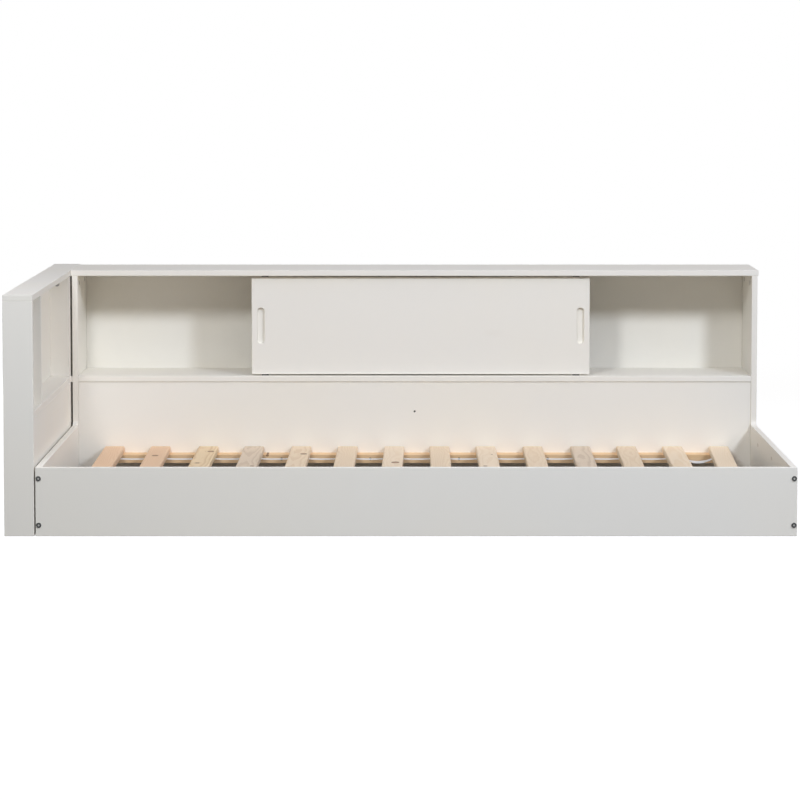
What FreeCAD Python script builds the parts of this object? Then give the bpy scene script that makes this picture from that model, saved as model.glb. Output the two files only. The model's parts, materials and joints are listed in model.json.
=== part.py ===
import FreeCAD, Part
import os
from FreeCAD import Vector

# Corner bed of painted pine boards, in millimetres, Z up: a low bed box with loose slats,
# a long cabinet with a sliding door behind it, and a narrow shelved headboard at the head end.
# While it is built, X runs from the outer face of the head end board towards the foot end,
# Y from the face of the front panel towards the cabinet, and Z up from the floor.

# Boards
board = 17.0
arris = 1.5
overrun = 5.0
fit = 0.1

# Bed box
mattress_length = 2000.0
mattress_width = 900.0
mattress_clearance = 10.0
panel_height = 186.0
inner_corner_radius = 15.0

# Cabinet behind the bed
cabinet_depth = 250.0
unit_height = 650.0
shelf_height = 333.0
top_overhang = 3.0
lower_panel_setback = 3.0
back_panel = 6.0
back_panel_play = 0.5
back_panel_ground_gap = 40.0
rear_rail_height = 90.0

# Sliding door and its glides
door_width = 1010.0
door_thickness = 17.0
door_gap = 4.0
door_setback = 17.0
door_rest_offset = 18.0
door_upright_gap = 6.0
grip_width = 22.0
grip_height = 107.0
grip_depth = 9.0
grip_edge_distance = 27.5
grip_rim = 1.0
glide_length = 20.0
glide_width = 14.0
glide_edge_distance = 40.0
glide_play = 0.3
glide_stem_radius = 4.0
glide_stem_length = 15.0
tongue_width = 6.0
tongue_depth = 5.0
groove_play = 0.5
groove_depth = 7.0

# Headboard across the head end
headboard_width = 80.0
headboard_gap = 3.5
headboard_recess = 2.0
headboard_back_reach = 30.0
front_niche_length = 189.0

# Slats, ledgers and straps
slat_count = 14
slat_width = 59.0
slat_thickness = 20.0
slat_arris = 4.0
slat_end_play = 5.0
slat_head_distance = 113.0
slat_foot_distance = 97.8
slat_stray = 6.0
slat_stray_shares = (-0.8, -1, -0.1, -0.4, 0, 0, 0.2, -0.5, -0.6, -0.2, 0.5, 0.3, 0.2, 0.25)
slat_skew = 43.0
slat_skew_shares = (-0.2, -0.15, 0.1, 0.15, 0.2, 0.2, 0.3, 0.05, 0, 0.15, 0.3, 0.45, 0.45, 1)
ledger_top = 103.0
ledger_height = 24.0
ledger_depth = 55.0
strap_width = 25.0
strap_thickness = 1.2
strap_end_distance = 130.0
strap_sag = 2.0
slack_sag = 10.0
staple_width = 10.0
staple_wire = 1.0
staple_leg = 7.0

# Dowels, cam fittings, bolts and screws
dowel_radius = 4.0
dowel_face_depth = 10.0
dowel_edge_depth = 20.0
dowel_step = 32.0
cam_radius = 7.5
cam_depth = 12.5
cam_setback = 24.0
cam_edge_distance = 50.0
cam_slot_length = 9.0
cam_slot_width = 1.6
cam_slot_depth = 2.0
stud_radius = 3.0
stud_thread = 11.0
bolt_radius = 3.0
bolt_head_radius = 7.0
bolt_head_height = 2.5
bolt_head_round = 1.0
bolt_edge_distance = 30.0
bolt_past_nut = 8.0
socket_flats = 4.0
socket_depth = 1.8
barrel_radius = 5.0
barrel_length = 13.0
barrel_setback = 35.0
insert_radius = 4.5
insert_length = 13.0
link_spacer_radius = 9.0
link_low_height = 45.0
link_front_distance = 150.0
link_middle_distance = 227.0
link_rear_setback = 75.0
link_rear_end_distance = 65.0
link_rear_low_height = 90.0
link_rear_shelf_drop = 66.0
ledger_screw_head = 4.0
ledger_screw_shank = 2.0
ledger_screw_length = 67.0
ledger_screw_count = 6
ledger_screw_end_distance = 345.0
ledger_end_screw_distance = 30.0
panel_screw_head = 3.0
panel_screw_shank = 1.6
panel_screw_length = 30.0
panel_screw_end_distance = 80.0
panel_screw_count = 8
centre_screw_drop = 89.0
screw_recess_share = 0.4

# Places of the hidden joints
low_cam_height = 60.0
shelf_cam_drop = 56.0
divider_cam_inset = 39.0
divider_dowel_inset = 15.0
upright_dowel_shares = (0.25, 0.75)
support_dowel_share = 0.5
long_dowel_shares = (0.1, 0.5, 0.72)
end_dowel_shares = (0.25, 0.75)

# Planes worked out from the sizes above, each pair a lower and an upper limit
inner_length = mattress_length + mattress_clearance
inner_width = mattress_width + mattress_clearance
bed_length = inner_length + 2 * board
cabinet_front = board + inner_width
bed_depth = cabinet_front + cabinet_depth
headboard_depth = bed_depth + headboard_back_reach
middle_x = bed_length / 2
head_end_x = (0, board)
foot_end_x = (bed_length - board, bed_length)
inner_x = (board, bed_length - board)
panel_y = (0, board)
top_z = (unit_height - board, unit_height)
shelf_z = (shelf_height - board, shelf_height)
niche_z = (shelf_height, unit_height - board)
lower_z = (0, shelf_height - board)
back_y = (bed_depth - back_panel, bed_depth)
rail_y = (back_y[0] - board, back_y[0])
shelf_y = (cabinet_front, back_y[0])
lower_panel_front = cabinet_front + lower_panel_setback
lower_panel_y = (lower_panel_front, lower_panel_front + board)
door_front = cabinet_front + door_setback
door_y = (door_front, door_front + door_thickness)
door_z = (shelf_height + door_gap, top_z[0] - door_gap)
door_left = middle_x + door_rest_offset - door_width / 2
door_x = (door_left, door_left + door_width)
upright_y = (door_y[1] + door_upright_gap, back_y[0])
headboard_x = (-headboard_gap - headboard_width, -headboard_gap)
bed_side_x = -headboard_gap - headboard_recess
back_board_x = (headboard_x[0], headboard_x[0] + board)
niche_x = (back_board_x[1], bed_side_x)
head_panel_x = (bed_side_x - board, bed_side_x)
rear_board_y = (headboard_depth - board, headboard_depth)
between_y = (board, rear_board_y[0])
front_divider_y = (board + front_niche_length, board + front_niche_length + board)
rear_divider_y = (cabinet_front, cabinet_front + board)
front_ledger_y = (board, board + ledger_depth)
back_ledger_y = (lower_panel_front - ledger_depth, lower_panel_front)
ledger_z = (ledger_top - ledger_height, ledger_top)
slat_y = (board + slat_end_play, lower_panel_front - slat_end_play)
slat_z = (ledger_top, ledger_top + slat_thickness)
slat_centres = (inner_x[0] + slat_head_distance, inner_x[1] - slat_foot_distance)
ledger_x = (slat_centres[0] - slat_width / 2, slat_centres[1] + slat_width / 2)
ledger_screws = (inner_x[0] + ledger_screw_end_distance, inner_x[1] - ledger_screw_end_distance)
ledger_end_screws = (ledger_x[0] + ledger_end_screw_distance, ledger_x[1] - ledger_end_screw_distance)
panel_screws = (inner_x[0] + panel_screw_end_distance, inner_x[1] - panel_screw_end_distance)
lower_cam_heights = (low_cam_height, lower_z[1] - shelf_cam_drop)
link_front_places = (link_front_distance, cabinet_front - link_middle_distance)
link_rear_places = (cabinet_front + link_rear_setback, bed_depth - link_rear_end_distance)
link_rear_heights = (link_rear_low_height, lower_z[1] - link_rear_shelf_drop)

# Directions
right = Vector(1, 0, 0)
left = Vector(-1, 0, 0)
rear = Vector(0, 1, 0)
forward = Vector(0, -1, 0)
up = Vector(0, 0, 1)
down = Vector(0, 0, -1)

# The single pieces, what is cut out of each, and the groups of like fasteners, all by name
pieces = {}
cutters = {}
groups = {}


def middle(limits):
    return (limits[0] + limits[1]) / 2


def around(centre, size):
    return (centre - size / 2, centre + size / 2)


def part_way(limits, share):
    return limits[0] + (limits[1] - limits[0]) * share


def spread(limits, count):
    # Even places from the lower limit to the upper one
    return [part_way(limits, index / (count - 1)) for index in range(count)]


def box(x, y, z):
    return Part.makeBox(x[1] - x[0], y[1] - y[0], z[1] - z[0], Vector(x[0], y[0], z[0]))


def eased_box(x, y, z, radius):
    block = box(x, y, z)
    return block.makeFillet(radius, block.Edges)


def rod(radius, start, end):
    return Part.makeCylinder(radius, (end - start).Length, start, end - start)


def joined(solids):
    return solids[0].multiFuse(solids[1:]).removeSplitter()


def set_at(shape, origin, x_way, z_way):
    placed = shape.copy()
    turn = FreeCAD.Rotation(x_way, z_way.cross(x_way), z_way, "ZXY")
    placed.Placement = FreeCAD.Placement(origin, turn)
    return placed


def drill(name, shape):
    cutters.setdefault(name, []).append(shape)


def add_to(group, solid):
    groups.setdefault(group, []).append(solid)


# Joints: each one adds its fastener and drills the boards that it holds together

def dowel_joint(group, edge_name, face_name, mouth, into_edge):
    start = mouth - into_edge * dowel_face_depth
    end = mouth + into_edge * dowel_edge_depth
    add_to(group, rod(dowel_radius, start, end))
    hole = rod(dowel_radius + fit, start - into_edge * fit, end + into_edge * fit)
    drill(edge_name, hole)
    drill(face_name, hole)


def cam_joint(unit, edge_name, face_name, mouth, into_edge, out_of_face):
    # Made with the cam's visible face at the origin and the stud running off to the left
    stud_start = Vector(-cam_setback - stud_thread, 0, -board / 2)
    stud_tip = Vector(0, 0, -board / 2)
    stud = rod(stud_radius, stud_start, stud_tip)
    bore = rod(stud_radius + fit, stud_start + left * fit, stud_tip + right * fit)
    slot_z = (-cam_slot_depth, overrun)
    cam = rod(cam_radius, down * cam_depth, Vector())
    cam = cam.cut(bore)
    cam = cam.cut(box(around(0, cam_slot_length), around(0, cam_slot_width), slot_z))
    cam = cam.cut(box(around(0, cam_slot_width), around(0, cam_slot_length), slot_z))
    pocket = rod(cam_radius + fit, down * (cam_depth + fit), up * overrun)
    origin = mouth + into_edge * cam_setback + out_of_face * (board / 2)
    add_to(unit + "_cams", set_at(cam, origin, into_edge, out_of_face))
    add_to(unit + "_cam_studs", set_at(stud, origin, into_edge, out_of_face))
    drill(edge_name, set_at(pocket, origin, into_edge, out_of_face))
    drill(edge_name, set_at(bore, origin, into_edge, out_of_face))
    drill(face_name, set_at(bore, origin, into_edge, out_of_face))


def screw_joint(group, names, point, way, head_radius, shank_radius, length):
    head_depth = head_radius - shank_radius
    cone = Part.makeCone(head_radius, shank_radius, head_depth, point, way)
    shank = rod(shank_radius, point, point + way * length)
    recess = rod(head_radius * screw_recess_share, point, point + way * (head_depth * screw_recess_share))
    add_to(group, joined([cone, shank]).cut(recess))
    sink = Part.makeCone(head_radius + fit, shank_radius + fit, head_depth, point, way)
    hole = rod(shank_radius + fit, point, point + way * (length + fit))
    for name in names:
        drill(name, sink)
        drill(name, hole)


def bolt(point, way, length):
    # Made with the underside of the head at the origin and the shank pointing down
    head = rod(bolt_head_radius, Vector(), up * bolt_head_height)
    rim = [edge for edge in head.Edges if edge.BoundBox.ZMin > bolt_head_height / 2]
    head = head.makeFillet(bolt_head_round, rim)
    corners = [right * (socket_flats / 3 ** 0.5)]
    for _ in range(6):
        corners.append(FreeCAD.Rotation(up, 60).multVec(corners[-1]))
    socket = Part.Face(Part.makePolygon(corners)).extrude(up * (socket_depth + overrun))
    socket.translate(up * (bolt_head_height - socket_depth))
    shank = rod(bolt_radius, down * length, Vector())
    across = up if abs(way.z) < abs(way.x + way.y) else right
    return set_at(joined([head, shank]).cut(socket), point, across, way * -1)


# Bed box

def end_board(name, x):
    corner = Vector(x[0], cabinet_front - inner_corner_radius, panel_height + inner_corner_radius)
    bend = FreeCAD.Rotation(right, -45).multVec(rear * inner_corner_radius)
    outline = [
        Vector(x[0], board, 0),
        Vector(x[0], bed_depth, 0),
        Vector(x[0], bed_depth, top_z[0]),
        Vector(x[0], cabinet_front, top_z[0]),
        corner + rear * inner_corner_radius,
    ]
    after_bend = [corner + down * inner_corner_radius, Vector(x[0], board, panel_height), outline[0]]
    edges = list(Part.makePolygon(outline).Edges)
    edges.append(Part.Arc(outline[-1], corner + bend, after_bend[0]).toShape())
    edges += Part.makePolygon(after_bend).Edges
    solid = Part.Face(Part.Wire(edges)).extrude(right * (x[1] - x[0]))
    pieces[name] = solid.makeFillet(arris, solid.Edges)


def corner_bolts(name, x, inward):
    for z in (bolt_edge_distance, panel_height - bolt_edge_distance):
        point = Vector(middle(x), 0, z)
        nut_centre = point + rear * (board + barrel_setback)
        length = board + barrel_setback + bolt_past_nut
        add_to("corner_bolts", bolt(point, rear, length))
        shank_hole = rod(bolt_radius + fit, point, point + rear * (length + fit))
        inner_face = nut_centre + inward * (board / 2)
        barrel = rod(barrel_radius, inner_face - inward * barrel_length, inner_face)
        barrel_hole = rod(barrel_radius + fit, inner_face - inward * (barrel_length + fit), inner_face)
        add_to("corner_barrel_nuts", barrel.cut(shank_hole))
        drill("front_panel", shank_hole)
        drill(name, shank_hole)
        drill(name, barrel_hole)
    dowel_joint("bed_dowels", name, "front_panel", Vector(middle(x), board, panel_height / 2), rear)


def bed_box():
    pieces["front_panel"] = eased_box((0, bed_length), panel_y, (0, panel_height), arris)
    end_board("head_end_board", head_end_x)
    end_board("foot_end_board", foot_end_x)
    corner_bolts("head_end_board", head_end_x, right)
    corner_bolts("foot_end_board", foot_end_x, left)


def ledger(side, carrier, y, screw_face, way):
    name = side + "_slat_ledger"
    pieces[name] = box(ledger_x, y, ledger_z)
    for x in spread(ledger_screws, ledger_screw_count) + list(ledger_end_screws):
        point = Vector(x, screw_face, middle(ledger_z))
        screw_joint(side + "_ledger_screws", (name, carrier), point, way,
                    ledger_screw_head, ledger_screw_shank, ledger_screw_length)


def slat_places(y):
    # Where the slats' middles lie at a depth: the rear ends stray a little, and the roll fans out from there
    forward_share = (slat_y[1] - y) / (slat_y[1] - slat_y[0])
    places = []
    for index, x in enumerate(spread(slat_centres, slat_count)):
        stray = slat_stray_shares[index] * slat_stray
        skew = slat_skew_shares[index] * slat_skew * forward_share
        places.append(x + stray - skew)
    return places


def slat_name(index):
    return "slat_%02d" % (index + 1)


def slats():
    for index, ends in enumerate(zip(slat_places(slat_y[0]), slat_places(slat_y[1]))):
        front_end = Vector(ends[0], slat_y[0], slat_z[0])
        along = Vector(ends[1], slat_y[1], slat_z[0]) - front_end
        slat = eased_box(around(0, slat_width), (0, along.Length), (0, slat_thickness), slat_arris)
        pieces[slat_name(index)] = set_at(slat, front_end, along.cross(up), up)


def ribbon_edges(places, z, y):
    # Flat under each slat, and hanging in an arc between one slat and the next
    edges = []
    for index, x in enumerate(places):
        under = around(x, slat_width - 2 * slat_arris)
        edges.append(Part.makeLine(Vector(under[0], y, z), Vector(under[1], y, z)))
        if index + 1 < len(places):
            next_edge = around(places[index + 1], slat_width - 2 * slat_arris)[0]
            sag = slack_sag if index + 2 == len(places) else strap_sag
            lowest = Vector((under[1] + next_edge) / 2, y, z - sag)
            arc = Part.Arc(Vector(under[1], y, z), lowest, Vector(next_edge, y, z))
            edges.append(arc.toShape())
    return edges


def strap(name, y):
    places = slat_places(middle(y))
    upper = ribbon_edges(places, slat_z[0], y[0])
    lower = ribbon_edges(places, slat_z[0] - strap_thickness, y[0])
    start = Part.makeLine(upper[0].Vertexes[0].Point, lower[0].Vertexes[0].Point)
    end = Part.makeLine(upper[-1].Vertexes[-1].Point, lower[-1].Vertexes[-1].Point)
    outline = Part.Wire(Part.__sortEdges__(upper + lower + [start, end]))
    pieces[name] = Part.Face(outline).extrude(rear * (y[1] - y[0]))
    for index, x in enumerate(places):
        staple(name, slat_name(index), x, middle(y))


def staple(strap_name, name, x, y):
    crown_top = slat_z[0] - strap_thickness
    crown = box(around(x, staple_wire), around(y, staple_width), (crown_top - staple_wire, crown_top))
    solids = [crown]
    for leg_y in around(y, staple_width - staple_wire):
        leg_z = (crown_top, slat_z[0] + staple_leg)
        solids.append(box(around(x, staple_wire), around(leg_y, staple_wire), leg_z))
        hole_size = staple_wire + 2 * fit
        hole = box(around(x, hole_size), around(leg_y, hole_size), (crown_top, leg_z[1] + fit))
        drill(strap_name, hole)
        drill(name, hole)
    add_to("strap_staples", joined(solids))


def slat_roll():
    ledger("front", "front_panel", front_ledger_y, front_ledger_y[1], forward)
    ledger("back", "cabinet_lower_panel", back_ledger_y, back_ledger_y[0], rear)
    slats()
    strap("front_slat_strap", around(slat_y[0] + strap_end_distance, strap_width))
    strap("back_slat_strap", around(slat_y[1] - strap_end_distance, strap_width))


# Cabinet

def groove(name, x, z):
    drill(name, box(x, around(middle(door_y), tongue_width + 2 * groove_play), z))


def cabinet_boards():
    top_x = (-top_overhang, bed_length + top_overhang)
    support_y = (lower_panel_y[1], rail_y[0])
    back_x = (inner_x[0] + back_panel_play, inner_x[1] - back_panel_play)
    back_z = (back_panel_ground_gap, top_z[0] - back_panel_play)
    post_x = around(middle_x, board)
    pieces["cabinet_top"] = eased_box(top_x, (cabinet_front, bed_depth), top_z, arris)
    pieces["cabinet_shelf"] = eased_box(inner_x, shelf_y, shelf_z, arris)
    pieces["cabinet_lower_panel"] = eased_box(inner_x, lower_panel_y, lower_z, arris)
    pieces["cabinet_back_panel"] = box(back_x, back_y, back_z)
    pieces["cabinet_rear_rail"] = box(inner_x, rail_y, (0, rear_rail_height))
    pieces["cabinet_centre_upright"] = eased_box(post_x, upright_y, niche_z, arris)
    pieces["cabinet_centre_support"] = box(post_x, support_y, lower_z)
    groove("cabinet_shelf", inner_x, (shelf_height - groove_depth, shelf_height))
    groove("cabinet_top", inner_x, (top_z[0], top_z[0] + groove_depth))


def cabinet_end_joints(name, x, inward):
    # Cams at the front and the rear of each joint, with a dowel further in beside each
    edge_x = middle(x)
    joint_x = x[1] if inward == right else x[0]
    front_cam = cabinet_front + cam_edge_distance
    rear_cam = bed_depth - cam_edge_distance
    for y in (front_cam, rear_cam):
        cam_joint("cabinet", name, "cabinet_top", Vector(edge_x, y, top_z[0]), down, inward)
        cam_joint("cabinet", "cabinet_shelf", name, Vector(joint_x, y, middle(shelf_z)), inward, down)
    for y in (front_cam + dowel_step, rear_cam - dowel_step):
        dowel_joint("cabinet_dowels", name, "cabinet_top", Vector(edge_x, y, top_z[0]), down)
        dowel_joint("cabinet_dowels", "cabinet_shelf", name, Vector(joint_x, y, middle(shelf_z)), inward)
    for z in lower_cam_heights:
        mouth = Vector(joint_x, middle(lower_panel_y), z)
        cam_joint("cabinet", "cabinet_lower_panel", name, mouth, inward, rear)
    mouth = Vector(joint_x, middle(lower_panel_y), middle(lower_cam_heights))
    dowel_joint("cabinet_dowels", "cabinet_lower_panel", name, mouth, inward)
    rail_mouth = Vector(joint_x, middle(rail_y), rear_rail_height / 2)
    cam_joint("cabinet", "cabinet_rear_rail", name, rail_mouth, inward, forward)
    for step in (dowel_step, -dowel_step):
        dowel_joint("cabinet_dowels", "cabinet_rear_rail", name, rail_mouth + up * step, inward)


def cabinet_middle_joints():
    for share in upright_dowel_shares:
        y = part_way(upright_y, share)
        post_top = Vector(middle_x, y, top_z[0])
        post_foot = Vector(middle_x, y, shelf_height)
        dowel_joint("cabinet_dowels", "cabinet_centre_upright", "cabinet_top", post_top, down)
        dowel_joint("cabinet_dowels", "cabinet_centre_upright", "cabinet_shelf", post_foot, up)
    support_top = Vector(middle_x, part_way(shelf_y, support_dowel_share), shelf_z[0])
    dowel_joint("cabinet_dowels", "cabinet_centre_support", "cabinet_shelf", support_top, down)
    for share in end_dowel_shares:
        panel_top = Vector(part_way(inner_x, share), middle(lower_panel_y), shelf_z[0])
        dowel_joint("cabinet_dowels", "cabinet_lower_panel", "cabinet_shelf", panel_top, down)
    screw_joint("centre_panel_screw", ("cabinet_lower_panel", "cabinet_centre_support"),
                Vector(middle_x, lower_panel_front, lower_z[1] - centre_screw_drop), rear,
                panel_screw_head, panel_screw_shank, panel_screw_length)


def back_panel_screws():
    rail_height = (back_panel_ground_gap + rear_rail_height) / 2
    for x in spread(panel_screws, panel_screw_count):
        for name, z in (("cabinet_shelf", middle(shelf_z)), ("cabinet_rear_rail", rail_height)):
            screw_joint("back_panel_screws", ("cabinet_back_panel", name), Vector(x, bed_depth, z), forward,
                        panel_screw_head, panel_screw_shank, panel_screw_length)


def cabinet():
    cabinet_boards()
    cabinet_end_joints("head_end_board", head_end_x, right)
    cabinet_end_joints("foot_end_board", foot_end_x, left)
    cabinet_middle_joints()
    back_panel_screws()


# Sliding door

def grip(x):
    ends = grip_height / 2 - grip_width / 2
    centre = Vector(x, door_front, middle(door_z))
    depth = rear * grip_depth
    hollow = [box(around(x, grip_width), (door_front, door_front + grip_depth), around(centre.z, 2 * ends))]
    for end in (centre + up * ends, centre + down * ends):
        hollow.append(rod(grip_width / 2, end, end + depth))
    return joined(hollow)


def rim_edges(solid, x):
    rim = []
    for edge in solid.Edges:
        limits = edge.BoundBox
        on_face = limits.YMax < door_front + grip_rim / 2
        if on_face and limits.XMin > x - grip_width and limits.XMax < x + grip_width:
            rim.append(edge)
    return rim


def glide(x, door_edge, board_face, toward):
    # A plate between the door and the board, a tongue in the groove and a stem in the door
    y = middle(door_y)
    plate_face = board_face - toward * glide_play
    tongue_tip = board_face + toward * tongue_depth
    plate_z = sorted((door_edge, plate_face))
    tongue_z = sorted((door_edge, tongue_tip))
    edge_point = Vector(x, y, door_edge)
    stem_tip = edge_point - up * (toward * glide_stem_length)
    plate = box(around(x, glide_length), around(y, glide_width), plate_z)
    tongue = box(around(x, glide_length), around(y, tongue_width), tongue_z)
    stem_hole = rod(glide_stem_radius + fit, edge_point, stem_tip - up * (toward * fit))
    drill("sliding_door", stem_hole)
    return joined([plate, tongue, rod(glide_stem_radius, edge_point, stem_tip)])


def sliding_door():
    door = eased_box(door_x, door_y, door_z, arris)
    for x in (door_x[0] + grip_edge_distance, door_x[1] - grip_edge_distance):
        door = door.cut(grip(x))
        door = door.makeFillet(grip_rim, rim_edges(door, x))
    pieces["sliding_door"] = door
    for x in (door_x[0] + glide_edge_distance, door_x[1] - glide_edge_distance):
        add_to("door_lower_glides", glide(x, door_z[0], shelf_height, -1))
        add_to("door_upper_glides", glide(x, door_z[1], top_z[0], 1))


# Headboard

def headboard_boards():
    post_z = (0, top_z[0])
    pieces["headboard_top"] = eased_box(headboard_x, (0, headboard_depth), top_z, arris)
    pieces["headboard_front_board"] = eased_box(headboard_x, panel_y, post_z, arris)
    pieces["headboard_rear_board"] = eased_box(headboard_x, rear_board_y, post_z, arris)
    pieces["headboard_back_board"] = eased_box(back_board_x, between_y, post_z, arris)
    pieces["headboard_lower_panel"] = eased_box(head_panel_x, between_y, lower_z, arris)
    pieces["headboard_niche_shelf"] = eased_box(niche_x, between_y, shelf_z, arris)
    pieces["headboard_front_divider"] = eased_box(niche_x, front_divider_y, niche_z, arris)
    pieces["headboard_rear_divider"] = eased_box(niche_x, rear_divider_y, niche_z, arris)
    pieces["corner_gap_strip"] = box((bed_side_x, 0), (cabinet_front, bed_depth), shelf_z)


def headboard_end_joints(name, joint_y, end_y, inward):
    for z in lower_cam_heights:
        back_mouth = Vector(middle(back_board_x), joint_y, z)
        cam_joint("headboard", "headboard_back_board", name, back_mouth, inward, right)
        panel_mouth = Vector(middle(head_panel_x), joint_y, z)
        dowel_joint("headboard_dowels", "headboard_lower_panel", name, panel_mouth, inward)
    high_mouth = Vector(middle(back_board_x), joint_y, middle(niche_z))
    dowel_joint("headboard_dowels", "headboard_back_board", name, high_mouth, inward)
    for share in end_dowel_shares:
        shelf_mouth = Vector(part_way(niche_x, share), joint_y, middle(shelf_z))
        top_mouth = Vector(part_way(headboard_x, share), end_y, top_z[0])
        dowel_joint("headboard_dowels", "headboard_niche_shelf", name, shelf_mouth, inward)
        dowel_joint("headboard_dowels", name, "headboard_top", top_mouth, down)


def headboard_long_joints():
    for share in long_dowel_shares:
        y = part_way(between_y, share)
        wall_mouth = Vector(niche_x[0], y, middle(shelf_z))
        panel_mouth = Vector(middle(head_panel_x), y, shelf_z[0])
        top_mouth = Vector(middle(back_board_x), y, top_z[0])
        dowel_joint("headboard_dowels", "headboard_niche_shelf", "headboard_back_board", wall_mouth, right)
        dowel_joint("headboard_dowels", "headboard_lower_panel", "headboard_niche_shelf", panel_mouth, down)
        dowel_joint("headboard_dowels", "headboard_back_board", "headboard_top", top_mouth, down)


def divider_joints(name, y, cam_side):
    cam_x = bed_side_x - divider_cam_inset
    dowel_x = bed_side_x - divider_dowel_inset
    cam_joint("headboard", name, "headboard_top", Vector(cam_x, middle(y), top_z[0]), down, cam_side)
    dowel_joint("headboard_dowels", name, "headboard_top", Vector(dowel_x, middle(y), top_z[0]), down)
    for x in (cam_x, dowel_x):
        foot = Vector(x, middle(y), shelf_height)
        dowel_joint("headboard_dowels", name, "headboard_niche_shelf", foot, up)


def link_bolt(y, z):
    # Through the head end board and a spacer ring into a threaded insert in the headboard
    head_point = Vector(head_end_x[1], y, z)
    panel_face = Vector(bed_side_x, y, z)
    insert_end = panel_face + left * insert_length
    hole = rod(bolt_radius + fit, head_point, insert_end + left * fit)
    insert = rod(insert_radius, insert_end, panel_face)
    spacer = rod(link_spacer_radius, panel_face, Vector(head_end_x[0], y, z))
    add_to("headboard_link_bolts", bolt(head_point, left, (insert_end - head_point).Length))
    add_to("headboard_link_inserts", insert.cut(hole))
    add_to("headboard_link_spacers", spacer.cut(hole))
    drill("head_end_board", hole)
    drill("headboard_lower_panel", rod(insert_radius + fit, insert_end + left * fit, panel_face))


def headboard():
    headboard_boards()
    headboard_end_joints("headboard_front_board", between_y[0], middle(panel_y), rear)
    headboard_end_joints("headboard_rear_board", between_y[1], middle(rear_board_y), forward)
    headboard_long_joints()
    divider_joints("headboard_front_divider", front_divider_y, rear)
    divider_joints("headboard_rear_divider", rear_divider_y, forward)
    for y in link_front_places:
        link_bolt(y, link_low_height)
    for y in link_rear_places:
        for z in link_rear_heights:
            link_bolt(y, z)


def save(name, solids):
    x_limits = (headboard_x[0], bed_length + top_overhang)
    y_limits = (-bolt_head_height, headboard_depth)
    shape = Part.makeCompound(solids) if len(solids) > 1 else solids[0].copy()
    shape.translate(Vector(-middle(x_limits), -middle(y_limits), 0))
    shape.exportStep("parts/" + name + ".step")


bed_box()
slat_roll()
cabinet()
sliding_door()
headboard()
os.makedirs("parts", exist_ok=True)
for name, solid in pieces.items():
    if name in cutters:
        solid = solid.cut(cutters[name])
    save(name, solid.Solids)
for name, solids in groups.items():
    save(name, solids)
print(len(pieces) + len(groups), "nodes written")
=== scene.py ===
import bpy
import json
import math
import random
from mathutils import Euler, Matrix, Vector


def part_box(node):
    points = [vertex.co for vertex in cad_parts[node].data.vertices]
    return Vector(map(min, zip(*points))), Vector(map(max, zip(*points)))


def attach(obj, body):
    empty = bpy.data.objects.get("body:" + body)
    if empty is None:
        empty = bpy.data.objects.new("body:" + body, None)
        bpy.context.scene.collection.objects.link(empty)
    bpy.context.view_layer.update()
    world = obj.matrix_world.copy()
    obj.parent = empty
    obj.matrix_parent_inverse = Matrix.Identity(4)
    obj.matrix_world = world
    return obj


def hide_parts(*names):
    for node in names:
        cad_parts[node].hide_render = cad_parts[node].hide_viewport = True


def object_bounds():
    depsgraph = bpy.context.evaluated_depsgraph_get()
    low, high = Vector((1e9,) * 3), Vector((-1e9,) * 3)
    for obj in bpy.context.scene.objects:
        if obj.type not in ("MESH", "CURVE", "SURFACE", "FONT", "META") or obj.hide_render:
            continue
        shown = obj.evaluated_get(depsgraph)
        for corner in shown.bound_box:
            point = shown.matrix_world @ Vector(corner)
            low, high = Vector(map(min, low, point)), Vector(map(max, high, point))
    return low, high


# Looks of a corner bed: satin white paint over pine boards, raw pine slats on two woven straps,
# black fittings, and the soft studio light and camera of the photograph. Lengths are in metres,
# apart from the lens, which is in millimetres.

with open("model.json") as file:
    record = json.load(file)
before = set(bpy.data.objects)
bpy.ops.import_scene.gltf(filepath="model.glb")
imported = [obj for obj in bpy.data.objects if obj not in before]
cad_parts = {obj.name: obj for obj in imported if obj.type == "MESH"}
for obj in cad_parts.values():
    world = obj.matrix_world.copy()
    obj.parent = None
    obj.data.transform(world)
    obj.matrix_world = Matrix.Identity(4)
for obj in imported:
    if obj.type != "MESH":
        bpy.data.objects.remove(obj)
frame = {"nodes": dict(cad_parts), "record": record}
cad_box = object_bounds()

# Camera
camera_place = Vector((-0.0035, -8.521, 1.2793))
camera_pitch = math.radians(4.102)
camera_lens = 133.94
camera_shift_share = -0.16

# Studio lamps, each with its place, width and height, watts and colour, and the dim warm room around them
lamps = {
    "right_lamp": (Vector((2.80, -3.40, 2.84)), (0.7, 0.72), 98.0, (0.81, 0.88, 1.0)),
    "side_lamp": (Vector((7.0, -2.2, 4.2)), (3.0, 3.0), 113.0, (1.0, 0.955, 0.99)),
    "left_lamp": (Vector((-1.20, -3.25, 2.66)), (0.6, 0.72), 57.0, (0.95, 0.975, 1.0)),
    "top_lamp": (Vector((0.0, -1.3, 3.3)), (3.6, 3.6), 29.0, (0.85, 0.85, 1.0)),
    "back_lamp": (Vector((-2.6, 3.2, 0.45)), (0.5, 0.5), 95.0, (1.0, 0.97, 0.93)),
}
lamp_target = Vector((0.0, 0.2, 0.4))
room_colour = (1.0, 0.87, 0.70, 1.0)
room_strength = 0.08

# Floor: it bounces little light, looks white from a distance, and takes a soft shadow near the bed; below
# the bed its glow is turned down, which is painted shade
white = (1.0, 1.0, 1.0, 1.0)
floor_reach = 14.0
floor_fade = (2.2, 4.5)
floor_colour = (0.20, 0.196, 0.19, 1.0)
floor_shadow_colour = (0.32, 0.32, 0.32, 1.0)
floor_glow_share = 0.88
# Below the bed the glow is turned down, a painted shade
painted_shade_glow_under_bed = 0.10
painted_shade_fade_under_bed = 0.06

# Layers of finer patches in a noise
plain_detail = 1.0
middle_detail = 2.0
fine_detail = 3.0

# How squarely a face has to look along an axis to count as flat, and where it counts as an eased edge
edge_facing_shares = (0.998, 0.90)

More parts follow.
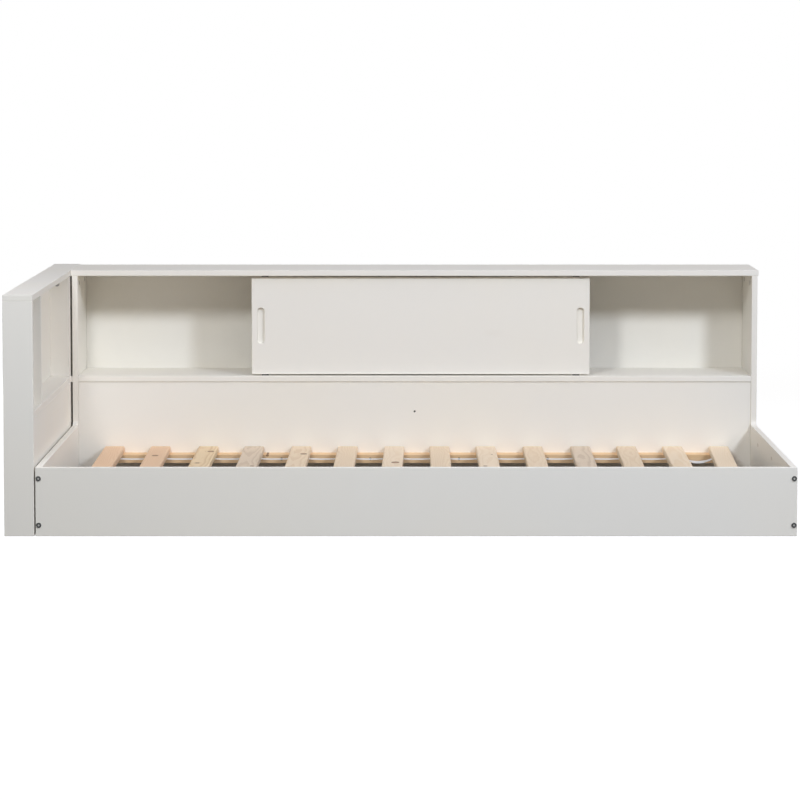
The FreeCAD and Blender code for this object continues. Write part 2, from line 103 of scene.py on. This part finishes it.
# Paint over pine
paint_cool = (0.925, 0.900, 0.832, 1.0)
paint_warm = (0.935, 0.903, 0.822, 1.0)
paint_knot = (0.820, 0.780, 0.695, 1.0)
paint_knot_deep = (0.740, 0.690, 0.610, 1.0)
paint_edge = (0.845, 0.822, 0.762, 1.0)
paint_board_shift = (9.0, 5.0, 7.0)
paint_tone_size = 0.45
paint_tone_noise_shares = (0.35, 0.65)
paint_knot_cell = (0.38, 0.16, 0.16)
paint_knot_edge_shares = (0.11, 0.03)
paint_knot_lot_shares = (0.60, 0.64)
paint_knot_share = 0.12
shown_paint_knots = (Vector((1.045, 0.146, 0.149)), Vector((1.045, -0.178, 0.153)))
shown_paint_knot_radii = (0.008, 0.020, 0.007)
shown_paint_knot_edge_shares = (1.0, 0.5)
paint_rub_size = 0.02
paint_rub_noise_shares = (0.45, 0.70)
paint_wear_shares = (0.10, 0.55)
paint_fibre = (0.30, 0.007, 0.007)
paint_fibre_depth = 0.00003
paint_peel_size = 0.0016
paint_peel_depth = 0.00003
paint_gloss_size = 0.03
paint_roughness = (0.46, 0.60)
paint_specular = 0.25

# Raw pine: each tone has its early and its late wood
pine_tones = {
    "pink": ((0.85, 0.605, 0.41, 1.0), (0.74, 0.49, 0.305, 1.0)),
    "yellow": ((0.88, 0.70, 0.465, 1.0), (0.74, 0.545, 0.325, 1.0)),
    "grey": ((0.78, 0.65, 0.505, 1.0), (0.66, 0.53, 0.395, 1.0)),
    "pale": ((0.875, 0.715, 0.525, 1.0), (0.785, 0.61, 0.42, 1.0)),
    "palest": ((0.91, 0.76, 0.58, 1.0), (0.835, 0.67, 0.48, 1.0)),
    "bright": ((0.95, 0.79, 0.595, 1.0), (0.90, 0.72, 0.51, 1.0)),
    "fresh": ((0.855, 0.61, 0.37, 1.0), (0.82, 0.55, 0.295, 1.0)),
}
slat_tones = ("pink", "pink", "yellow", "grey", "pale", "pale", "palest", "pale", "palest", "pale", "grey",
              "pale", "bright", "bright")
slat_nodes = ["slat_%02d" % (index + 1) for index in range(len(slat_tones))]
slat_width = 0.059
slat_round = 0.004
slat_end_zone = 0.03
ledger_nodes = ("front_slat_ledger", "back_slat_ledger")
ledger_tone = "fresh"
pine_board_shift = (1.7, 0.9, 0.6)
heart_across_limits = (-0.05, 0.05)
heart_depth_limits = (-0.07, -0.015)
ring_width = 0.0036
ring_share = 0.55
figured_slats = ("slat_03", "slat_04", "slat_05", "slat_11", "slat_13")
figured_ring_width = 0.0055
figured_ring_share = 1.0
figured_heart = (0.0, 0.008, -0.032)
ring_drift = 0.012
ring_drift_size = 0.40
ring_wander = 0.0035
ring_wander_size = (0.12, 0.02, 0.02)
ring_rise_shares = (0.30, 0.90)
ring_fall_shares = (1.0, 0.93)
ring_depth_share = 0.5
pine_fibre = (0.05, 0.0011, 0.0011)
pine_fibre_depth = 0.00012
pine_fibre_share = 0.45
pine_wear_size = 0.03
pine_wear_noise_shares = (0.4, 0.7)
pine_wear_share = 0.35
pine_roughness = (0.52, 0.72)

# Knots in raw pine: their bands are shares of a knot's radius
knot_core = (0.36, 0.19, 0.09, 1.0)
knot_core_share = 0.85
knot_core_band_shares = (1.25, 1.05)
knot_rim = (0.16, 0.075, 0.035, 1.0)
knot_rim_share = 0.80
knot_rim_inner_band_shares = (0.65, 1.05)
knot_rim_outer_band_shares = (1.5, 1.15)
knot_stretch = 1.35
knot_wander_share = 0.6
knot_pull_band_shares = (2.8, 0.0)
knot_bend_share = 1.5

# Knots that the photograph shows: shares of a slat's length and, from the left, of its width, and radius
shown_knots = {
    "slat_02": ((0.764, 0.49, 0.010),),
    "slat_03": ((0.588, 0.37, 0.007), (0.866, 0.75, 0.0095)),
    "slat_04": ((0.518, 0.79, 0.006),),
    "slat_05": ((0.805, 0.73, 0.010),),
    "slat_07": ((0.602, 0.635, 0.012),),
    "slat_09": ((0.79, 0.73, 0.003), (0.516, 0.30, 0.006)),
    "back_slat_ledger": ((0.26, 0.92, 0.003),),
}

# Knots by chance, where the photograph doesn't show the slats
chance_knot_counts = (2, 3)
chance_knot_radii = (0.003, 0.009)
chance_length_shares = (0.05, 0.43)
chance_width_shares = (-0.42, 0.42)

# Woven straps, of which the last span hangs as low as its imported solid
strap_nodes = ("front_slat_strap", "back_slat_strap")
strap_thickness = 0.0010
strap_clearance = 0.0001
strap_sag = 0.001
slack_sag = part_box("slat_01")[0].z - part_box("back_slat_strap")[0].z - strap_thickness
strap_lean = math.radians(5.0)
strap_lean_shares = (0.0, 0.2, 0.0, 0.1, 0.0, 0.2, 0.1, 0.2, 0.0, 0.2, 0.1, 0.3, 1.8)
strap_steps = 18
strap_columns = 12
selvedge_share = 0.35
selvedge_reach_share = 0.125
selvedge_tip_share = 0.25
# The weave's hollows are darkened by a painted shade, stronger in some patches than others
strap_colour = (0.84, 0.84, 0.84, 1.0)
strap_hollow_shade = (0.68, 0.68, 0.68, 1.0)
strap_yarn = 0.0009
strap_yarn_depth = 0.00018
strap_shade_patch_size = 0.03
strap_shade_patch_shares = (0.5, 1.0)
strap_roughness = (0.80, 0.65)
strap_sheen = 0.15

# Black steel
black_steel = (0.055, 0.056, 0.056, 1.0)
black_steel_worn = (0.135, 0.135, 0.13, 1.0)
steel_rub_size = 0.004
steel_rub_noise_shares = (0.40, 0.70)
steel_rub_share = 0.25
steel_grain_size = 0.0012
steel_grain_depth = 0.00003
steel_roughness = (0.38, 0.55)
steel_metallic = 0.6
# Colour of a paler round patch over each bolt's socket
socket_patch_colour = (0.46, 0.46, 0.44, 1.0)
socket_radius = 0.0026
socket_edge_share = 0.9
bolt_head_radius = 0.007

# Zinc plate
zinc = (0.46, 0.455, 0.44, 1.0)
zinc_dull = (0.31, 0.307, 0.30, 1.0)
zinc_cloud_size = 0.006
zinc_cloud_noise_shares = (0.35, 0.70)
zinc_edge_share = 0.3
zinc_brush = (0.004, 0.0006, 0.0006)
zinc_brush_depth = 0.00002
zinc_roughness = (0.30, 0.48)
zinc_metallic = 1.0

# Black plastic
plastic = (0.022, 0.022, 0.023, 1.0)
plastic_scuffed = (0.05, 0.05, 0.05, 1.0)
plastic_scuff = (0.008, 0.002, 0.002)
plastic_scuff_noise_shares = (0.50, 0.75)
plastic_edge_share = 0.5
plastic_grain_size = 0.0008
plastic_grain_depth = 0.00003
plastic_roughness = (0.42, 0.60)

# Beech dowels
beech = (0.62, 0.44, 0.28, 1.0)
beech_dark = (0.47, 0.31, 0.185, 1.0)
beech_fleck = (0.004, 0.0015, 0.004)
beech_fleck_noise_shares = (0.35, 0.70)
beech_fleck_depth = 0.00008
beech_roughness = (0.55, 0.70)


class Graph:
    # The nodes of one material, made and joined by short calls

    def __init__(self, name):
        self.material = bpy.data.materials.new(name)
        self.material.use_nodes = True
        self.tree = self.material.node_tree
        self.shader = self.tree.nodes["Principled BSDF"]

    def put(self, socket, value):
        if isinstance(value, bpy.types.NodeSocket):
            self.tree.links.new(value, socket)
        else:
            socket.default_value = value

    def add(self, kind, inputs, output=0, **settings):
        node = self.tree.nodes.new("ShaderNode" + kind)
        for name, value in settings.items():
            setattr(node, name, value)
        for name, value in inputs.items():
            self.put(node.inputs[name], value)
        return node.outputs[output]

    def maths(self, operation, *values):
        return self.add("Math", dict(enumerate(values)), operation=operation)

    def vector(self, operation, *values):
        return self.add("VectorMath", dict(enumerate(values)), operation=operation)

    def scale(self, place, factor):
        return self.add("VectorMath", {0: place, "Scale": factor}, operation="SCALE")

    def length(self, place):
        return self.add("VectorMath", {0: place}, "Value", operation="LENGTH")

    def step(self, value, start, end):
        # Rises smoothly from 0 at the start to 1 at the end, which may lie below the start
        inputs = {"Value": value, "From Min": start, "From Max": end}
        return self.add("MapRange", inputs, interpolation_type="SMOOTHSTEP")

    def between(self, share, limits, start=0.0):
        # Runs evenly from the first limit, where the share is at its start, to the last, where it is 1
        inputs = {"Value": share, "From Min": start, "To Min": limits[0], "To Max": limits[1]}
        return self.add("MapRange", inputs)

    def mix(self, share, low, high):
        return self.add("Mix", {0: share, 6: low, 7: high}, 2, data_type="RGBA")

    def noise(self, place, size, detail=middle_detail):
        # Size is the length of one patch, or three lengths where it is drawn out
        if isinstance(size, tuple):
            place = self.vector("MULTIPLY", place, tuple(1.0 / side for side in size))
            size = 1.0
        return self.add("TexNoise", {"Vector": place, "Scale": 1.0 / size, "Detail": detail})

    def relief(self, height, depth, below=None):
        inputs = {"Height": height, "Distance": depth, "Strength": 1.0}
        if below is not None:
            inputs["Normal"] = below
        return self.add("Bump", inputs)

    def edges(self):
        # One on eased edges and round walls, and zero on flat faces that lie square to the axes
        facing = self.vector("ABSOLUTE", self.add("NewGeometry", {}, "True Normal"))
        x = self.add("SeparateXYZ", {0: facing}, "X")
        sides = x.node.outputs
        flat = self.maths("MAXIMUM", x, self.maths("MAXIMUM", sides["Y"], sides["Z"]))
        return self.step(flat, *edge_facing_shares)

    def finish(self, colour, roughness, normal):
        self.put(self.shader.inputs["Base Color"], colour)
        self.put(self.shader.inputs["Roughness"], roughness)
        self.put(self.shader.inputs["Normal"], normal)
        return self.material


# Materials

def turn_along(axis):
    # The turn that lays the given axis along X
    quarter = math.radians(90.0)
    return ((0.0, 0.0, 0.0), (0.0, 0.0, -quarter), (0.0, quarter, 0.0))[axis]


def longest_axis(node):
    low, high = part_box(node)
    sides = list(high - low)
    return sides.index(max(sides))


def painted_pine(axis):
    graph = Graph("painted_pine_" + "xyz"[axis])
    chance = graph.add("ObjectInfo", {}, "Random")
    bare_place = graph.add("TexCoord", {}, "Object")
    place = graph.vector("ADD", bare_place, graph.scale(paint_board_shift, chance))
    along = graph.add("Mapping", {"Vector": place, "Rotation": turn_along(axis)})

    # Slow changes of tone, faint chance knots, and the two knots that the photograph shows
    tone = graph.step(graph.noise(place, paint_tone_size), *paint_tone_noise_shares)
    colour = graph.mix(tone, paint_cool, paint_warm)
    cells = graph.vector("DIVIDE", along, paint_knot_cell)
    gap = graph.add("TexVoronoi", {"Vector": cells, "Scale": 1.0}, "Distance")
    lot = graph.add("SeparateColor", {0: gap.node.outputs["Color"]}, "Red")
    chosen = graph.step(lot, *paint_knot_lot_shares)
    knot = graph.maths("MULTIPLY", graph.step(gap, *paint_knot_edge_shares), chosen)
    colour = graph.mix(graph.maths("MULTIPLY", knot, paint_knot_share), colour, paint_knot)
    for centre in shown_paint_knots:
        offset = graph.vector("SUBTRACT", bare_place, centre)
        gap = graph.length(graph.vector("DIVIDE", offset, shown_paint_knot_radii))
        colour = graph.mix(graph.step(gap, *shown_paint_knot_edge_shares), colour, paint_knot_deep)

    rub = graph.step(graph.noise(place, paint_rub_size, fine_detail), *paint_rub_noise_shares)
    wear = graph.maths("MULTIPLY", graph.edges(), graph.between(rub, paint_wear_shares))
    colour = graph.mix(wear, colour, paint_edge)
    normal = graph.relief(graph.noise(along, paint_fibre, fine_detail), paint_fibre_depth)
    normal = graph.relief(graph.noise(place, paint_peel_size, plain_detail), paint_peel_depth, normal)
    roughness = graph.between(graph.noise(place, paint_gloss_size), paint_roughness)
    graph.shader.inputs["Specular IOR Level"].default_value = paint_specular
    return graph.finish(colour, roughness, normal)


def slat_line(node):
    # The middles of a slat's front and rear ends, which differ in X where the slat lies askew
    low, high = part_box(node)
    corners = [vertex.co for vertex in frame["nodes"][node].data.vertices]
    ends = []
    for y in (low.y, high.y):
        across = [corner.x for corner in corners if abs(corner.y - y) < slat_end_zone]
        ends.append(Vector(((min(across) + max(across)) / 2, y, low.z)))
    return ends


def timber_place(node):
    # The turn and shift that lay a slat or a ledger along X with its shown face in the XY plane
    low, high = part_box(node)
    if node in slat_nodes:
        front, back = slat_line(node)
        turn = Euler((0.0, 0.0, -math.atan2(back.y - front.y, back.x - front.x)))
        return turn, -(turn.to_matrix() @ front), ((back - front).length, slat_width)
    turn = Euler((math.radians(90.0), 0.0, 0.0))
    return turn, (-low.x, (low.z + high.z) / 2, -low.y), (high.x - low.x, high.z - low.z)


def knot_places(node, number, size):
    # Listed knots in the part that shows, and chance ones along the rest
    length, width = size
    draw = random.Random(number)
    places = [(share * length, (0.5 - across) * width, radius)
              for share, across, radius in shown_knots.get(node, ())]
    for _ in range(0 if node == "back_slat_ledger" else draw.randint(*chance_knot_counts)):
        share = draw.uniform(*chance_length_shares)
        radius = draw.uniform(*chance_knot_radii)
        places.append((share * length, draw.uniform(*chance_width_shares) * width, radius))
    return places


def knot_band(graph, gap, size, shares):
    return graph.step(gap, shares[0] * size, shares[1] * size)


def bend_round_knots(graph, places, local, wander, radius):
    # The rings' radius bent round each knot, and the shares of the knots' cores and of their dark rims
    core = 0.0
    rim = 0.0
    for x, y, size in places:
        offset = graph.vector("SUBTRACT", local, (x, y, 0.0))
        offset = graph.vector("MULTIPLY", offset, (1.0 / knot_stretch, 1.0, 0.0))
        gap = graph.maths("MULTIPLY_ADD", wander, knot_wander_share * size, graph.length(offset))
        pull = knot_band(graph, gap, size, knot_pull_band_shares)
        radius = graph.maths("MULTIPLY_ADD", pull, knot_bend_share * size, radius)
        core = graph.maths("MAXIMUM", core, knot_band(graph, gap, size, knot_core_band_shares))
        inner = knot_band(graph, gap, size, knot_rim_inner_band_shares)
        outer = knot_band(graph, gap, size, knot_rim_outer_band_shares)
        rim = graph.maths("MAXIMUM", rim, graph.maths("MULTIPLY", inner, outer))
    return radius, core, rim


def raw_pine(node, number, tone):
    turn, start, size = timber_place(node)
    draw = random.Random(number)
    light, dark = pine_tones[tone]
    graph = Graph("raw_pine_" + node)
    place = graph.add("TexCoord", {}, "Object")
    local = graph.add("Mapping", {"Vector": place, "Rotation": turn, "Location": start})
    own = graph.vector("ADD", local, tuple(number * side for side in pine_board_shift))

    # Growth rings round a heart line beside or below the slat, which drifts along its length
    heart = (0.0, draw.uniform(*heart_across_limits), draw.uniform(*heart_depth_limits))
    width = ring_width
    strength = ring_share
    if node in figured_slats:
        heart = figured_heart
        width = figured_ring_width
        strength = figured_ring_share
    flat = graph.vector("MULTIPLY", graph.vector("SUBTRACT", local, heart), (0.0, 1.0, 1.0))
    lengthwise = graph.vector("MULTIPLY", own, (1.0, 0.0, 0.0))
    drift = graph.noise(lengthwise, ring_drift_size, plain_detail)
    wander = graph.noise(own, ring_wander_size)
    radius = graph.maths("MULTIPLY_ADD", drift, 2 * ring_drift, graph.length(flat))
    radius = graph.maths("MULTIPLY_ADD", wander, 2 * ring_wander, radius)
    places = knot_places(node, number, size)
    radius, core, rim = bend_round_knots(graph, places, local, wander, radius)

    phase = graph.maths("FRACT", graph.maths("DIVIDE", radius, width))
    rise = graph.step(phase, *ring_rise_shares)
    late = graph.maths("MULTIPLY", rise, graph.step(phase, *ring_fall_shares))
    fibre = graph.noise(own, pine_fibre, fine_detail)
    share = graph.maths("MULTIPLY_ADD", late, strength, graph.maths("MULTIPLY", fibre, pine_fibre_share))
    colour = graph.mix(share, light, dark)
    colour = graph.mix(graph.maths("MULTIPLY", core, knot_core_share), colour, knot_core)
    colour = graph.mix(graph.maths("MULTIPLY", rim, knot_rim_share), colour, knot_rim)
    worn = graph.step(graph.noise(own, pine_wear_size), *pine_wear_noise_shares)
    wear = graph.maths("MULTIPLY", graph.edges(), worn)
    colour = graph.mix(graph.maths("MULTIPLY", wear, pine_wear_share), colour, dark)
    normal = graph.relief(fibre, pine_fibre_depth)
    normal = graph.relief(late, ring_depth_share * pine_fibre_depth, normal)
    return graph.finish(colour, graph.between(fibre, pine_roughness), normal)


def woven_strap():
    graph = Graph("strap_webbing")
    place = graph.add("TexCoord", {}, "Object")
    x = graph.add("SeparateXYZ", {0: graph.scale(place, math.pi / strap_yarn)}, "X")
    across = graph.maths("SINE", x.node.outputs["Y"])
    weave = graph.maths("MULTIPLY", graph.maths("SINE", x), across)
    height = graph.between(weave, (0.0, 1.0), start=-1.0)
    # Painted shade in the weave's hollows, stronger in some patches than others
    shade_patches = graph.between(graph.noise(place, strap_shade_patch_size, fine_detail), strap_shade_patch_shares)
    shade = graph.maths("MULTIPLY", graph.maths("SUBTRACT", 1.0, height), shade_patches)
    colour = graph.mix(shade, strap_colour, strap_hollow_shade)
    normal = graph.relief(height, strap_yarn_depth)
    graph.shader.inputs["Sheen Weight"].default_value = strap_sheen
    return graph.finish(colour, graph.between(height, strap_roughness), normal)


def socket_centres():
    # The middle of the four corner bolts, and how far from it each bolt's socket lies
    low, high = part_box("corner_bolts")
    return (low + high) / 2, (high - low) / 2 - Vector((bolt_head_radius, 0.0, bolt_head_radius))


def worn_steel(name, sockets=None):
    graph = Graph(name)
    place = graph.add("TexCoord", {}, "Object")
    rub = graph.step(graph.noise(place, steel_rub_size, fine_detail), *steel_rub_noise_shares)
    colour = graph.mix(graph.maths("MULTIPLY", graph.edges(), rub), black_steel, black_steel_worn)
    colour = graph.mix(graph.maths("MULTIPLY", rub, steel_rub_share), colour, black_steel_worn)
    if sockets:
        # Each socket gets a paler round patch of colour. The four corners are folded onto one, so that one
        # round patch serves all four sockets
        middle, reach = sockets
        folded = graph.vector("ABSOLUTE", graph.vector("SUBTRACT", place, middle))
        offset = graph.vector("SUBTRACT", folded, reach)
        gap = graph.length(graph.vector("MULTIPLY", offset, (1.0, 0.0, 1.0)))
        socket_patch = graph.step(gap, socket_radius, socket_edge_share * socket_radius)
        colour = graph.mix(socket_patch, colour, socket_patch_colour)
    normal = graph.relief(graph.noise(place, steel_grain_size), steel_grain_depth)
    graph.shader.inputs["Metallic"].default_value = steel_metallic
    return graph.finish(colour, graph.between(rub, steel_roughness), normal)


def zinc_plate():
    graph = Graph("zinc_steel")
    place = graph.add("TexCoord", {}, "Object")
    cloud = graph.step(graph.noise(place, zinc_cloud_size, fine_detail), *zinc_cloud_noise_shares)
    colour = graph.mix(cloud, zinc, zinc_dull)
    colour = graph.mix(graph.maths("MULTIPLY", graph.edges(), zinc_edge_share), colour, zinc)
    normal = graph.relief(graph.noise(place, zinc_brush), zinc_brush_depth)
    graph.shader.inputs["Metallic"].default_value = zinc_metallic
    return graph.finish(colour, graph.between(cloud, zinc_roughness), normal)


def moulded_plastic():
    graph = Graph("black_plastic")
    place = graph.add("TexCoord", {}, "Object")
    scuff = graph.step(graph.noise(place, plastic_scuff, fine_detail), *plastic_scuff_noise_shares)
    rub = graph.maths("MAXIMUM", scuff, graph.maths("MULTIPLY", graph.edges(), plastic_edge_share))
    colour = graph.mix(rub, plastic, plastic_scuffed)
    normal = graph.relief(graph.noise(place, plastic_grain_size, plain_detail), plastic_grain_depth)
    return graph.finish(colour, graph.between(scuff, plastic_roughness), normal)


def beech_dowel():
    graph = Graph("beech_dowel")
    place = graph.add("TexCoord", {}, "Object")
    fleck = graph.noise(place, beech_fleck, fine_detail)
    colour = graph.mix(graph.step(fleck, *beech_fleck_noise_shares), beech, beech_dark)
    normal = graph.relief(fleck, beech_fleck_depth)
    return graph.finish(colour, graph.between(fleck, beech_roughness), normal)


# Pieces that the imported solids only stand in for

def slat_middle(index, y):
    front, back = slat_line(slat_nodes[index])
    return front.lerp(back, (y - front.y) / (back.y - front.y)).x


def strap_line(y):
    # Points along the middle of a strap, each with its lean: flat below a slat, then a hanging span
    flat = slat_width - 2 * slat_round
    last = len(slat_nodes) - 1
    points = []
    for index, node in enumerate(slat_nodes):
        x = slat_middle(index, y)
        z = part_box(node)[0].z - strap_clearance - strap_thickness / 2
        flat_end = x + flat / 2
        points.append((Vector((x - flat / 2, y, z)), 0.0))
        if index == last:
            points.append((Vector((flat_end, y, z)), 0.0))
            break
        next_start = slat_middle(index + 1, y) - flat / 2
        sag = slack_sag if index + 1 == last else strap_sag
        lean = strap_lean * strap_lean_shares[index]
        for step in range(strap_steps):
            share = step / strap_steps
            hang = 4 * share * (1 - share)
            point = Vector((flat_end + (next_start - flat_end) * share, y, z - sag * hang))
            points.append((point, lean * hang))
    return points


def strap_outline(width):
    # A ribbon's section, a little thicker along both selvedges
    upper = []
    for column in range(strap_columns + 1):
        share = 2 * column / strap_columns - 1
        bead = 1 + selvedge_share * max(0.0, 1 - (1 - abs(share)) / selvedge_reach_share)
        tip = selvedge_tip_share if abs(share) == 1 else 1.0
        upper.append((share * width / 2, strap_thickness / 2 * bead * tip))
    return upper + [(across, -rise) for across, rise in reversed(upper)]


def strap_mesh(name, line, outline):
    vertices = []
    for index, (point, lean) in enumerate(line):
        before = line[max(index - 1, 0)][0]
        after = line[min(index + 1, len(line) - 1)][0]
        forward = (after - before).normalized()
        sideways = Vector((0.0, math.cos(lean), math.sin(lean)))
        upward = forward.cross(sideways)
        vertices += [point + sideways * across + upward * rise for across, rise in outline]
    count = len(outline)
    faces = []
    for row in range(len(line) - 1):
        for column in range(count):
            beside = (column + 1) % count
            faces.append((row * count + column, row * count + beside,
                          (row + 1) * count + beside, (row + 1) * count + column))
    faces.append(tuple(reversed(range(count))))
    faces.append(tuple(range(len(vertices) - count, len(vertices))))
    mesh = bpy.data.meshes.new(name)
    mesh.from_pydata(vertices, [], faces)
    mesh.shade_smooth()
    return mesh


def strap(name, node):
    low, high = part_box(node)
    line = strap_line((low.y + high.y) / 2)
    mesh = strap_mesh(name, line, strap_outline(high.y - low.y))
    piece = bpy.data.objects.new(name, mesh)
    bpy.context.collection.objects.link(piece)
    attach(piece, "bed")
    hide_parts(node)
    return piece


# Each piece gets its material

def dress(node, material):
    frame["nodes"][node].data.materials.clear()
    frame["nodes"][node].data.materials.append(material)


def dress_bed():
    paints = [painted_pine(axis) for axis in range(3)]
    shared = {
        "black_steel": worn_steel("black_steel"),
        "zinc_steel": zinc_plate(),
        "black_plastic": moulded_plastic(),
        "beech_dowel": beech_dowel(),
    }
    for row in frame["record"]["subparts"]:
        node = row["node"]
        slot = row["material_slot"]
        if slot == "painted_pine":
            dress(node, paints[longest_axis(node)])
        elif slot in shared:
            dress(node, shared[slot])
    timbers = list(zip(slat_nodes, slat_tones)) + [(node, ledger_tone) for node in ledger_nodes]
    for index, (node, tone) in enumerate(timbers):
        dress(node, raw_pine(node, index + 1, tone))
    dress("corner_bolts", worn_steel("corner_bolt_steel", socket_centres()))
    webbing = woven_strap()
    for node in strap_nodes:
        strap(node.replace("_slat_strap", "_woven_strap"), node).data.materials.append(webbing)


# Studio

def lamp(name, place, size, watts, colour):
    light = bpy.data.lights.new(name, "AREA")
    light.shape = "ELLIPSE"
    light.size, light.size_y = size
    light.energy = watts
    light.color = colour
    holder = bpy.data.objects.new(name, light)
    holder.location = place
    holder.rotation_euler = (lamp_target - place).to_track_quat("-Z", "Y").to_euler()
    holder.visible_camera = False
    bpy.context.collection.objects.link(holder)


def seen_share(tree):
    # One for rays from the camera, a mirror or clear glass, and zero for light that bounces
    rays = tree.nodes.new("ShaderNodeLightPath").outputs
    total = rays["Is Camera Ray"]
    for name in ("Is Glossy Ray", "Is Transmission Ray"):
        most = tree.nodes.new("ShaderNodeMath")
        most.operation = "MAXIMUM"
        tree.links.new(total, most.inputs[0])
        tree.links.new(rays[name], most.inputs[1])
        total = most.outputs[0]
    return total


def room():
    world = bpy.data.worlds.new("room")
    world.use_nodes = True
    bpy.context.scene.world = world
    tree = world.node_tree
    tree.nodes.clear()
    lit = tree.nodes.new("ShaderNodeBackground")
    lit.inputs["Color"].default_value = room_colour
    lit.inputs["Strength"].default_value = room_strength
    seen = tree.nodes.new("ShaderNodeBackground")
    seen.inputs["Color"].default_value = white
    choice = tree.nodes.new("ShaderNodeMixShader")
    output = tree.nodes.new("ShaderNodeOutputWorld")
    tree.links.new(seen_share(tree), choice.inputs[0])
    tree.links.new(lit.outputs[0], choice.inputs[1])
    tree.links.new(seen.outputs[0], choice.inputs[2])
    tree.links.new(choice.outputs[0], output.inputs["Surface"])


def painted_shade_under_bed(graph, place):
    # Mask of the painted shade: one on the floor below the bed, fading to zero at the edges of its outline
    low, high = cad_box
    x = graph.add("SeparateXYZ", {0: place}, "X")
    y = x.node.outputs["Y"]
    share = 1.0
    for value, start, end in ((x, low[0], high[0]), (y, low[1], high[1])):
        share = graph.maths("MULTIPLY", share, graph.step(value, start, start + painted_shade_fade_under_bed))
        share = graph.maths("MULTIPLY", share, graph.step(value, end, end - painted_shade_fade_under_bed))
    return share


def floor():
    corners = [(-floor_reach, -floor_reach, 0), (floor_reach, -floor_reach, 0),
               (floor_reach, floor_reach, 0), (-floor_reach, floor_reach, 0)]
    mesh = bpy.data.meshes.new("floor")
    mesh.from_pydata(corners, [], [(0, 1, 2, 3)])
    plane = bpy.data.objects.new("floor", mesh)
    bpy.context.collection.objects.link(plane)
    graph = Graph("floor")
    bounce = graph.add("BsdfDiffuse", {"Color": floor_colour})
    place = graph.add("TexCoord", {}, "Object")
    # Glow turned down below the bed: painted shade under it
    strength = graph.between(painted_shade_under_bed(graph, place), (floor_glow_share, painted_shade_glow_under_bed))
    glow = graph.add("Emission", {"Color": white, "Strength": strength})
    shadow = graph.add("BsdfDiffuse", {"Color": floor_shadow_colour})
    near = graph.add("AddShader", {0: glow, 1: shadow})
    plain = graph.add("Emission", {"Color": white})
    seen = graph.add("MixShader", {0: graph.step(graph.length(place), *floor_fade), 1: near, 2: plain})
    surface = graph.add("MixShader", {0: seen_share(graph.tree), 1: bounce, 2: seen})
    graph.put(graph.tree.nodes["Material Output"].inputs["Surface"], surface)
    mesh.materials.append(graph.material)


def camera():
    lens = bpy.data.cameras.new("camera")
    lens.lens = camera_lens
    lens.shift_y = camera_shift_share
    holder = bpy.data.objects.new("camera", lens)
    holder.location = camera_place
    holder.rotation_euler = (math.radians(90.0) - camera_pitch, 0.0, 0.0)
    bpy.context.collection.objects.link(holder)
    bpy.context.scene.camera = holder


dress_bed()
for name, settings in lamps.items():
    lamp(name, *settings)
room()
floor()
camera()
bpy.context.scene.view_settings.view_transform = "Standard"
